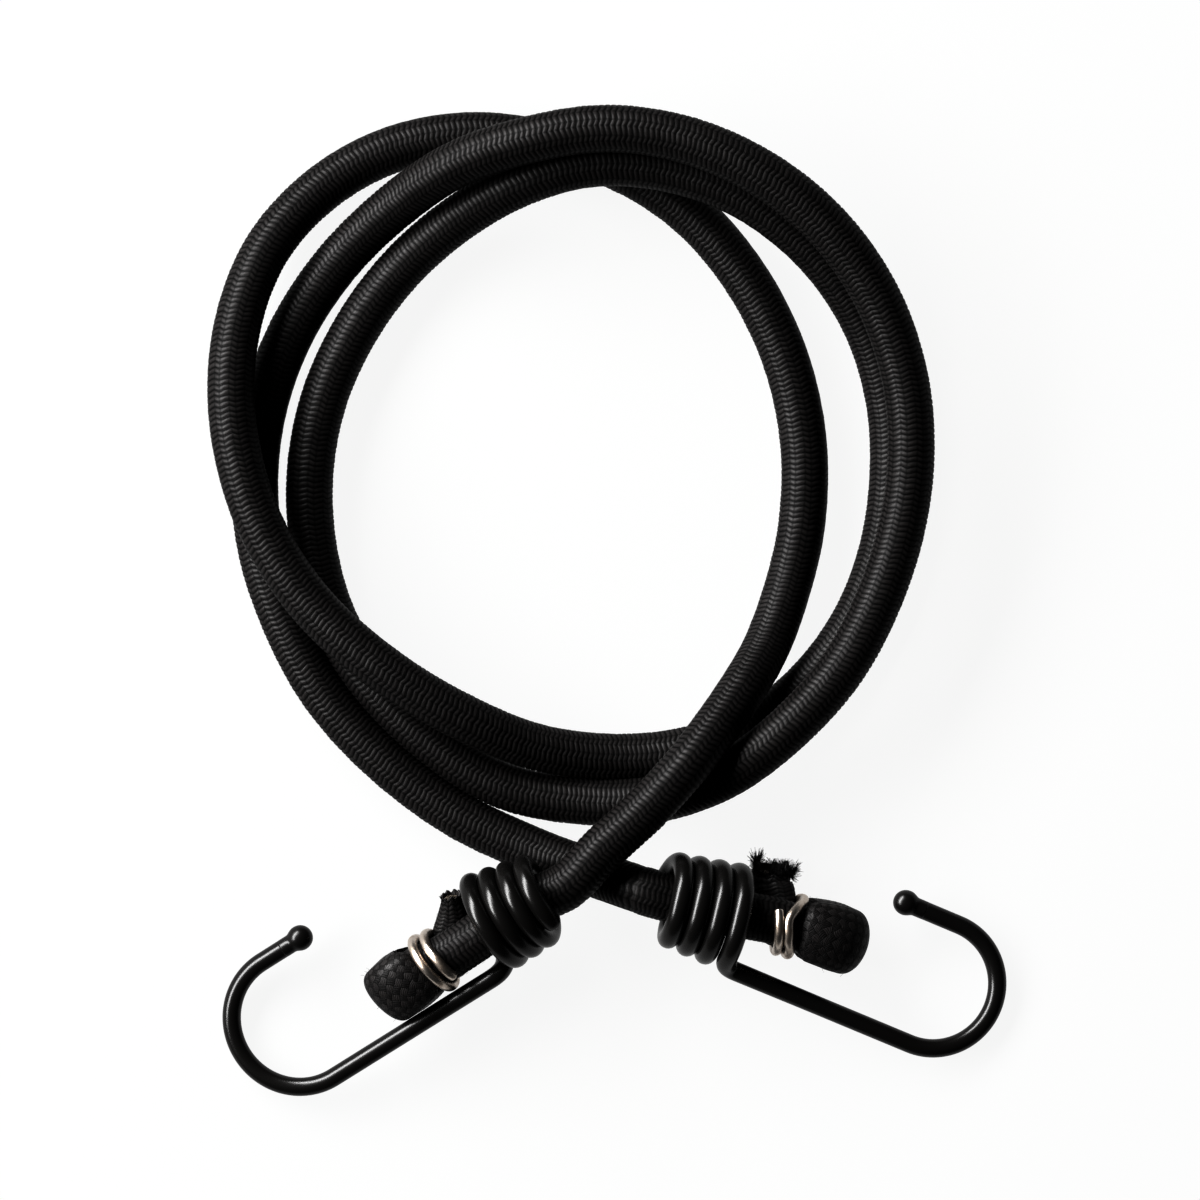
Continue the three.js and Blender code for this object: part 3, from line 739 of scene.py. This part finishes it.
def store(mesh, name, values):
    """A number or a vector at each point."""
    values = np.asarray(values, np.float32)
    kind, key = ("FLOAT_VECTOR", "vector") if values.ndim > 1 else ("FLOAT", "value")
    mesh.attributes.new(name, kind, "POINT").data.foreach_set(key, values.ravel())


def grow(name, mesh, tree, **inputs):
    """The plain mesh that a tree makes from a base mesh, as a finished object."""
    base = new_object(f"{name}_base", mesh)
    modifier = base.modifiers.new("nodes", "NODES")
    modifier.node_group = tree
    labels = {item.name: item.identifier for item in tree.interface.items_tree if item.in_out == "INPUT"}
    for label, value in inputs.items():
        modifier[labels[label.replace("_", " ")]] = value
    depsgraph = bpy.context.evaluated_depsgraph_get()
    grown = bpy.data.meshes.new_from_object(base.evaluated_get(depsgraph), depsgraph=depsgraph)
    bpy.data.objects.remove(base)
    for spent in ("ridge", "column", "lead", "slack", "tuft", "thickness"):
        if spent in grown.attributes:
            grown.attributes.remove(grown.attributes[spent])
    grown.name = name
    return new_object(name, grown)


def ring_faces(count, sides):
    """Faces of a tube over rings of points."""
    ring = np.arange(count - 1)[:, None] * sides
    here = np.arange(sides)[None]
    beside = (here + 1) % sides
    faces = np.stack([ring + here, ring + beside, ring + beside + sides, ring + here + sides], axis=-1)
    return faces.reshape(-1, 4).tolist()


def sleeve_points(line, angles, cut=()):
    """Rings of points on a sleeve. cut gives the waves of a ragged end, as (waves round it, reach, phase)."""
    sections = line["sections"]
    outward = np.cross(line["tangents"], line["across"])
    cosine, sine = np.cos(angles), np.sin(angles)
    outside = sections[:, 1:2] * np.maximum(sine, 0) ** sections[:, 4:5]
    inside = sections[:, 2:3] * np.maximum(-sine, 0) ** sections[:, 3:4]
    points = (
        line["centres"][:, None]
        + line["across"][:, None] * (sections[:, :1] * cosine)[..., None]
        + outward[:, None] * (outside - inside)[..., None]
    )
    ragged = np.zeros(len(angles))
    for waves, reach, phase in cut:
        ragged = ragged + reach * np.cos(waves * angles + phase)
    near_end = np.clip(1 - (line["along"][-1] - line["along"]) / CUT_REACH, 0, 1) ** 2
    points += line["tangents"][:, None] * (near_end[:, None] * ragged)[..., None]
    points[..., 2] = np.maximum(points[..., 2], 0)
    return points


def point_mesh(name, points, joined=False, **attributes):
    """Points alone, or joined into one line, with an attribute value or vector at each."""
    edges = [(i, i + 1) for i in range(len(points) - 1)] if joined else []
    mesh = bpy.data.meshes.new(name)
    mesh.from_pydata((points * MM).tolist(), edges, [])
    for label, values in attributes.items():
        store(mesh, label, values)
    return mesh


def sleeve_mesh(name, line, stations, sense=1, cut=(), capped=False):
    """Smooth sleeve over rings, carrying the coordinates that the braid follows."""
    turns = np.array([column + station for column in range(BRAID_COLUMNS) for station in stations])
    points = sleeve_points(line, 2 * math.pi * turns / BRAID_COLUMNS, cut)
    count, sides = points.shape[:2]
    caps = [tuple(range((count - 1) * sides, count * sides))] if capped else []
    mesh = bpy.data.meshes.new(name)
    mesh.from_pydata((points.reshape(-1, 3) * MM).tolist(), [], ring_faces(count, sides) + caps)

    ridge = line["ridge"]
    # How far the sleeve is stretched at each point, so that kinks close up on the inside of a bend
    steps = np.maximum(np.gradient(line["along"]), LEAST_RING_STEP)[:, None, None]
    stretch = np.linalg.norm(np.gradient(points, axis=0), axis=2, keepdims=True) / steps
    lead = line["tangents"][:, None] * np.clip(stretch, *LEAD_STRETCH) * sense
    opened = np.repeat(line["opened"], sides)
    store(mesh, "opened", opened)
    store(mesh, "slack", np.clip(stretch, *SLACK_STRETCH).ravel() * (1 - OPEN_FLATNESS * opened))
    store(mesh, "ridge", np.repeat(ridge, sides))
    store(mesh, "column", np.tile(turns * sense, count))
    store(mesh, "lead", lead)
    next_turns = np.append(turns[1:], BRAID_COLUMNS)
    first, second, start_turn, end_turn = np.broadcast_arrays(
        ridge[:-1, None], ridge[1:, None], turns * sense, next_turns * sense
    )
    corners = np.stack([first, start_turn, first, end_turn, second, end_turn, second, start_turn], axis=-1)
    flat = np.concatenate([corners.ravel(), np.zeros(2 * sides * len(caps))])
    mesh.uv_layers.new(name="braid").data.foreach_set("uv", flat.astype(np.float32))
    return mesh


def lathe_mesh(name, profile, centre, axis, sides):
    """Solid turned about an axis, from (distance along it, radius) pairs."""
    side = np.cross(axis, (0, 0, 1))
    side = side / np.linalg.norm(side)
    square = np.cross(axis, side)
    angles = np.linspace(0, 2 * math.pi, sides, endpoint=False)
    spokes = side * np.cos(angles)[:, None] + square * np.sin(angles)[:, None]
    points = [centre + axis * along + spokes * radius for along, radius in profile]
    last = (len(profile) - 1) * sides
    caps = [tuple(range(sides))[::-1], tuple(range(last, last + sides))]
    mesh = bpy.data.meshes.new(name)
    mesh.from_pydata((np.vstack(points) * MM).tolist(), [], ring_faces(len(profile), sides) + caps)
    mesh.shade_smooth()
    return mesh


def part_of(line, first, last):
    """The rings from first to last, and those tucked under the pieces next to it."""
    first, last = first - TUCKED_RINGS, last + TUCKED_RINGS
    part = {key: values[first:last + 1] for key, values in line.items()}
    part["sections"] = tucked(part["sections"], TUCKED_RINGS)
    return part


def rounded_wire(points, radius, rounding, last=True):
    """A wire's line with extra points near its cut ends, and its thickness with their edges rounded."""
    along = lengths_along(points)
    extra = rounding * (1 - np.cos(np.linspace(0, math.pi / 2, ROUNDING_STEPS)))
    wanted = [along, extra, along[-1] - extra] if last else [along, extra]
    points = at_lengths(points, along, np.unique(np.round(np.concatenate(wanted), decimals=4)))
    along = lengths_along(points)
    room = np.minimum(rounding, along)
    if last:
        room = np.minimum(room, along[-1] - along)
    return points, radius - rounding + np.sqrt(rounding ** 2 - (rounding - room) ** 2)


# Materials

# The braid: the yarn's colour on its ridges and the painted shade in its grooves, grains of its fibres and
# patches, their random tone, and painted light on the crests and painted shade at the kinks, as (least, most)
GROOVE_PAINTED_SHADE = (0.0006, 0.0006, 0.0006, 1)
RIDGE_COLOUR = (0.02, 0.0178, 0.0174, 1)
PAINTED_CREST_LIGHT = (0.2, 0.95)
RIDGE_SHEEN = 0.45
FIBRE_GRAIN = (9.0, 1.3)
FIBRE_LIGHT = (0.35, 1.05)
FIBRE_ROUGHNESS = (0.46, 0.66)
PATCH_GRAIN = (0.3, 0.8)
PATCH_LIGHT = (0.5, 1.3)
KINK_SHADE_WIDTH = 0.1
KINK_PAINTED_SHADE = (0.4, 1.0)
# The open weave: its drift, the painted shade between its crowns and yarns, and their height
DRIFT_GRAIN = (0.4, 1.6)
CROWN_SHADE_WIDTH = 0.5
WEAVE_PAINTED_SHADE = (0.3, 1.0)
UNDER_SHADE = 0.6
CROWN_HEIGHT = 1.6
WEAVE_HEIGHT = 0.9
# Coating, plating and latex
COATING_COLOUR = (0.0062, 0.0058, 0.0055, 1)
DUST_ROUGHNESS = 0.05
PLATING_COLOUR = (0.56, 0.51, 0.46, 1)
PLATING_ROUGHNESS = 0.28
TARNISH_COLOUR = (0.26, 0.2, 0.15, 1)
TARNISH_RANGE = (0.42, 0.68)
TARNISH_SHARE = 0.6
TARNISH_ROUGHNESS = 0.14
SCRATCH_ROUGHNESS = 0.1
LATEX_DARK = (0.1, 0.088, 0.075, 1)
LATEX_PALE = (0.24, 0.21, 0.17, 1)


def new_material(name, values):
    """A material, with the values that are the same all over its surface set on its shader."""
    material = bpy.data.materials.new(name)
    material.use_nodes = True
    shader = next(n for n in material.node_tree.nodes if n.type == "BSDF_PRINCIPLED")
    for label, value in values.items():
        shader.inputs[label].default_value = value
    return material, Nodes(material.node_tree), shader


def add_relief(shader, height, strength, depth):
    """Fine relief of a height, up to a depth in millimetres."""
    inputs = {"Strength": strength, "Distance": depth * MM, "Height": height}
    height.nodes.feed(shader, "Normal", height.nodes.make("ShaderNodeBump", inputs, output="Normal"))


def mixed(dark, light, factor):
    inputs = {"Factor": factor, "A": dark, "B": light}
    return factor.nodes.make("ShaderNodeMix", inputs, output="Result", data_type="RGBA")


def braid_material():
    """Black polyester yarn: dull sheen and painted light on the ridges, painted shade in grooves, fine
    fibres.
    """
    material, nodes, shader = new_material("black_braid", {"Specular IOR Level": 0.1, "Coat Roughness": 0.42})
    place = nodes.node("ShaderNodeSeparateXYZ", {0: nodes.make("ShaderNodeUVMap", uv_map="braid")})
    ridge = nodes.out(place, 0)
    column = nodes.out(place, 1)
    # Painted light on the ridges' crests, fading to painted shade down in the grooves
    crest_painted_light = ridge.hump().between(*PAINTED_CREST_LIGHT)
    fibre = braid_noise(ridge, column, FIBRE_GRAIN, detail=3.0)
    patch = braid_noise(ridge, column, PATCH_GRAIN)
    # Painted shade at the kinks, where one yarn passes under the next
    turn = column.fract()
    from_kink = turn.least(1.0 - turn).least((turn - FLAT_SHARE).math("ABSOLUTE"))
    kink = from_kink.between(0.0, KINK_SHADE_WIDTH).onto(*KINK_PAINTED_SHADE)
    ridge_painted_light_and_tone = crest_painted_light * kink * fibre.onto(*FIBRE_LIGHT)
    # Round the knob: painted shade in the hollows between the weave's crowns and between its yarns, deeper on
    # the yarns underneath
    crown, lines, crossing = open_weave(ridge, column)
    crown_painted_shade = crown.between(0.0, CROWN_SHADE_WIDTH).onto(*WEAVE_PAINTED_SHADE)
    weave_painted_shade = crown_painted_shade * lines.onto(*WEAVE_PAINTED_SHADE) * (1.0 - crossing * UNDER_SHADE)
    opened = nodes.make("ShaderNodeAttribute", output="Fac", attribute_name="opened")
    # The painted light and shade, times the random tone of the fibres and patches, blends the grooves'
    # painted shade into the yarn's colour
    painted_light_and_tone = (ridge_painted_light_and_tone + (weave_painted_shade - ridge_painted_light_and_tone) * opened) * patch.onto(*PATCH_LIGHT)
    nodes.feed(shader, "Base Color", mixed(GROOVE_PAINTED_SHADE, RIDGE_COLOUR, painted_light_and_tone))
    nodes.feed(shader, "Roughness", fibre.onto(*FIBRE_ROUGHNESS))
    nodes.feed(shader, "Coat Weight", painted_light_and_tone * RIDGE_SHEEN)
    height = fibre + (crown * CROWN_HEIGHT + lines * WEAVE_HEIGHT - fibre) * opened
    add_relief(shader, height, strength=0.6, depth=0.12)
    return material


def open_weave(ridge, column):
    """Weave of two slanting sets of yarns: how high each patch stands, its yarns, and which set is on top."""
    drift = braid_noise(ridge, column, DRIFT_GRAIN) * WEAVE_DRIFT
    first = ridge * WEAVE_ALONG + column * WEAVE_AROUND + drift
    second = ridge * WEAVE_ALONG - column * WEAVE_AROUND + drift
    crossing = ((first.math("FLOOR") + second.math("FLOOR")) * 0.5).fract() * 2.0
    crown = (first.hump() * second.hump()) ** 0.5
    over = (second * WEAVE_YARNS).hump()
    under = (first * WEAVE_YARNS).hump()
    return crown, over + (under - over) * crossing, crossing


def coated_material(name, roughness):
    """Smooth black dip coating with a faint ripple."""
    material, nodes, shader = new_material(name, {"Base Color": COATING_COLOUR, "Specular IOR Level": 0.34})
    ripple = nodes.object_noise(scale=260.0)
    dust = nodes.object_noise(scale=2400.0)
    nodes.feed(shader, "Roughness", dust * DUST_ROUGHNESS + roughness)
    add_relief(shader, ripple, strength=0.06, depth=0.3)
    return material


def clip_material():
    """Warm silver plating, worn brown in the hollows of the drawn wire."""
    material, nodes, shader = new_material("plated_wire", {"Metallic": 1.0})
    tarnish = nodes.object_noise(scale=420.0, detail=4.0).between(*TARNISH_RANGE)
    scratch = nodes.object_noise(scale=3000.0)
    worn = tarnish * TARNISH_ROUGHNESS + scratch * SCRATCH_ROUGHNESS
    nodes.feed(shader, "Base Color", mixed(PLATING_COLOUR, TARNISH_COLOUR, tarnish * TARNISH_SHARE))
    nodes.feed(shader, "Roughness", worn + PLATING_ROUGHNESS)
    add_relief(shader, tarnish, strength=0.3, depth=0.1)
    return material


def core_material():
    """Dull latex, uneven in tone."""
    material, nodes, shader = new_material("latex_core", {"Roughness": 0.6})
    grain = nodes.object_noise(scale=1800.0, detail=3.0)
    nodes.feed(shader, "Base Color", mixed(LATEX_DARK, LATEX_PALE, grain))
    return material


def floor_material():
    """Pale light table: nearly all its white is its own light."""
    material, _, _ = new_material("pale_floor", {
        "Base Color": (0.022, 0.022, 0.022, 1),
        "Roughness": 0.9,
        "Specular IOR Level": 0.0,
        "Emission Color": (1, 1, 1, 1),
        "Emission Strength": 0.94,
    })
    return material


BRAID = braid_material()
COATING = coated_material("black_coating", roughness=0.25)
TIP_COATING = coated_material("black_ball", roughness=0.28)
PLATING = clip_material()
LATEX = core_material()
BRAID_TREE = braid_tree()
WIRE_TREE = wire_tree()
FRAY_TREE = fray_tree()
STRAND_TREE = strand_tree()


# Pieces


def finish_piece(obj, slot, body, *nodes):
    """Settles one finished piece on the body that carries it."""
    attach(obj, body)
    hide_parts(*nodes)


def grow_sleeve(name, line, stations, ridge_depth=RIDGE_DEPTH, **shape):
    """A braided piece of the cord over its rings."""
    mesh = sleeve_mesh(name, line, stations, **shape)
    return grow(name, mesh, BRAID_TREE, Ridge_Depth=ridge_depth * MM, Material=BRAID)


def add_cord():
    """The coil, and the short run behind each spiral."""
    line = free_cord()
    start, end = TUCKED_RINGS, len(line["along"]) - 1 - TUCKED_RINGS
    first = int(np.searchsorted(line["along"], LEFT_RUN))
    last = int(np.searchsorted(line["along"], line["along"][end] - RIGHT_RUN))
    obj = grow_sleeve("cord_coil", part_of(line, first, last), COLUMN_STATIONS)
    finish_piece(obj, "braid", "cord", "sheath_loops", "core_loops")
    path = line["centres"][first:last + 1:RINGS_PER_RIDGE] * MM
    for name, near, far in (("left", first, start), ("right", last, end)):
        run = part_of(line, min(near, far), max(near, far))
        obj = grow_sleeve(f"{name}_run", run, COLUMN_STATIONS)
        still, moved = line["centres"][near] * MM, line["centres"][far] * MM
        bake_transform(obj)
        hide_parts(f"{name}_sheath_run", f"{name}_core_run")


def add_fold(name, before):
    """The cord's end: through the spiral, folded back on itself and cut off behind the clip."""
    line = fold_line(name, before)
    end = ENDS[name]
    obj = grow_sleeve(
        f"{name}_fold", line, FOLD_STATIONS, FOLD_RIDGE_DEPTH,
        sense=-end["side"], cut=end["cut"], capped=True,
    )
    finish_piece(obj, "braid", f"{name}_end", f"{name}_sheath_fold")
    add_fray(name, line)
    add_fuzz(name, line)
    add_core_end(name, line)


def add_yarns(name, body, roots, lead, tuft, **settings):
    """Loose yarns out of the sleeve, each along its lead and as long as its tuft says."""
    mesh = point_mesh(name, roots, lead=lead, tuft=tuft)
    obj = grow(name, mesh, FRAY_TREE, Material=BRAID, **settings)
    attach(obj, body)


def add_fray(name, line):
    """Loose yarns round the cut of the tail, in tufts given as (angle round it, width, length share)."""
    end = ENDS[name]
    angles = np.linspace(0, 2 * math.pi, RIM_POINTS, endpoint=False)
    ring = -2 - len(RIM_RINGS)
    rim = sleeve_points(line, angles, end["cut"])[ring]
    away = unit(rim - line["centres"][ring])
    clump = np.random.default_rng(FRAY_SEED).normal(0, FRAY_CLUMP, rim.shape)
    lead = line["tangents"][-1] + (away * FRAY_FLARE + clump) * YARN_LEVEL
    turn = np.degrees(angles)
    tuft = np.full(RIM_POINTS, FRAY_FLOOR)
    for middle, width, share in end["tufts"]:
        apart = (turn - middle + 180) % 360 - 180
        tuft = np.maximum(tuft, share * np.exp(-(apart / width * 2) ** 2))
    add_yarns(
        f"{name}_fray", f"{name}_end", rim - away * YARN_ROOT, lead, tuft,
        Amount=end["tuft_amount"], Length=end["tuft_length"] * MM,
    )


def add_fuzz(name, line):
    """A few stray fibres standing off the knob and the legs in front of the spiral."""
    draw = np.random.default_rng(FUZZ_SEED)
    ahead = (line["centres"] - PLACES[name].middle) @ PLACES[name].axes[0]
    rings = draw.choice(np.flatnonzero(ahead > FUZZ_FROM), FUZZ_FIBRES)
    angles = draw.uniform(0, 2 * math.pi, FUZZ_FIBRES)
    # One point of each ring: the first angle on the first one, the second on the second
    each = np.arange(FUZZ_FIBRES)
    roots = sleeve_points({key: values[rings] for key, values in line.items()}, angles)[each, each]
    away = unit(roots - line["centres"][rings])
    tuft = draw.uniform(*FUZZ_LENGTHS, FUZZ_FIBRES)
    add_yarns(
        f"{name}_fuzz", f"{name}_end", roots - away * YARN_ROOT, away, tuft,
        Amount=1, Length=FUZZ_LENGTH * MM, Spread=0.9, Curl=0.6, Thickness=FUZZ_RADIUS * MM,
    )


def add_core_end(name, line):
    """Ends of the latex strands, a little below the rim of the cut."""
    last = -1 - len(RIM_RINGS)
    half, outer, inner = line["sections"][last][:SECTION_LENGTHS] * CORE_SHARE
    outward = np.cross(line["tangents"][last], line["across"][last])
    angles = np.linspace(0, 2 * math.pi, CORE_STRANDS, endpoint=False)
    spots = [(0, 0)] + [(half * math.cos(a), (outer + inner) / 2 * math.sin(a)) for a in angles]
    depth = CORE_RECESS + CORE_LENGTH / 2
    middle = line["centres"][last] - line["tangents"][last] * depth
    points = np.array([middle + line["across"][last] * x + outward * y for x, y in spots])
    lead = np.tile(line["tangents"][last], (len(points), 1))
    mesh = point_mesh(f"{name}_core_end", points, lead=lead)
    obj = grow(f"{name}_core_end", mesh, STRAND_TREE, Material=LATEX)
    finish_piece(obj, "rubber_core", f"{name}_end", f"{name}_core_fold")


def add_clip(name):
    """The wire squeezed round both legs of the fold."""
    points = PLACES[name].place(clip_line(ENDS[name]))
    points, thickness = rounded_wire(points, CLIP_RADIUS, CLIP_ROUNDING)
    mesh = point_mesh(f"{name}_clip_wire", points, joined=True, thickness=thickness * MM)
    obj = grow(f"{name}_clip_wire", mesh, WIRE_TREE, Sides=16, Material=PLATING)
    finish_piece(obj, "clip_wire", f"{name}_end", f"{name}_clip")


def add_hook(name):
    """The hook's coated wire, rounded off at its rear cut, and the ball that covers its other end."""
    points, tip, backward = hook_line(ENDS[name])
    points = PLACES[name].place(points, rolled=True)
    points, thickness = rounded_wire(points, WIRE_RADIUS, WIRE_ROUNDING, last=False)
    along = lengths_along(points)
    spiral_radius = ENDS[name]["pitch"] * SPIRAL_FILL
    coating = np.interp(along / along[-1], COATING_THINS, (spiral_radius, SHANK_WIRE_RADIUS))
    thickness = thickness * coating / WIRE_RADIUS * MM
    mesh = point_mesh(f"{name}_hook_wire", points, joined=True, thickness=thickness)
    obj = grow(f"{name}_hook_wire", mesh, WIRE_TREE, Material=COATING)
    finish_piece(obj, "coated_wire", f"{name}_hook", f"{name}_hook")
    add_ball(name, PLACES[name].place(tip, rolled=True), PLACES[name].direction(backward, rolled=True))


def add_ball(name, centre, axis):
    """The dipped ball, with a neck that runs on a little way along the wire."""
    behind = np.linspace(-TIP_NECK, 0, BALL_STEPS)
    ahead = TIP_RADIUS * np.sin(np.linspace(*BALL_ANGLES, BALL_STEPS))
    profile = []
    for along in np.concatenate([behind, ahead]):
        ball = math.sqrt(max(TIP_RADIUS ** 2 - along ** 2, 0))
        neck = WIRE_RADIUS + NECK_COATING if along < 0 else 0
        profile.append((along, (ball ** NECK_BLEND + neck ** NECK_BLEND) ** (1 / NECK_BLEND)))
    obj = new_object(f"{name}_ball", lathe_mesh(f"{name}_ball", profile, centre, axis, sides=32))
    obj.data.materials.append(TIP_COATING)
    finish_piece(obj, "ball_tip", f"{name}_hook", f"{name}_hook_tip")


# Studio, in metres

FLOOR_HALF = 1.6
FLOOR_DROP = 0.02 * MM
KEY_PLACE = (-1.0, 0.5, 0.72)
CAMERA_PLACE = (-1.29 * MM, 0.23 * MM, 1.204)


def add_floor():
    mesh = bpy.data.meshes.new("floor")
    corners = ((-1, -1), (1, -1), (1, 1), (-1, 1))
    mesh.from_pydata([(x * FLOOR_HALF, y * FLOOR_HALF, 0) for x, y in corners], [], [(0, 1, 2, 3)])
    mesh.materials.append(floor_material())
    floor = new_object("floor", mesh)
    floor.location.z = -FLOOR_DROP


def add_key_light():
    """One broad soft lamp at the upper left, aimed at the coil's middle."""
    light = bpy.data.lights.new("key", "AREA")
    light.shape = "RECTANGLE"
    light.size = 2.0
    light.size_y = 0.5
    light.energy = 116
    obj = new_object("key", light)
    obj.location = KEY_PLACE
    x, y, z = KEY_PLACE
    obj.rotation_euler = (math.atan2(math.hypot(x, y), z), 0, math.atan2(x, -y))


def add_camera():
    """Straight above the coil, as in the photograph."""
    camera = bpy.data.cameras.new("camera")
    camera.sensor_width = 36.0
    camera.lens = 211.5
    camera.clip_end = 20.0
    obj = new_object("camera", camera)
    obj.location = CAMERA_PLACE
    bpy.context.scene.camera = obj


def add_world():
    world = bpy.data.worlds.new("studio")
    world.use_nodes = True
    sky = world.node_tree.nodes["Background"]
    sky.inputs["Color"].default_value = (1, 1, 1, 1)
    sky.inputs["Strength"].default_value = 0.05
    bpy.context.scene.world = world


add_cord()
route = laid_route()
add_fold("left", route[0])
add_fold("right", route[-1])
for side_name in ENDS:
    add_clip(side_name)
    add_hook(side_name)

add_floor()
add_key_light()
add_camera()
add_world()
bpy.context.scene.view_settings.view_transform = "Standard"
bpy.context.scene.view_settings.gamma = 0.62
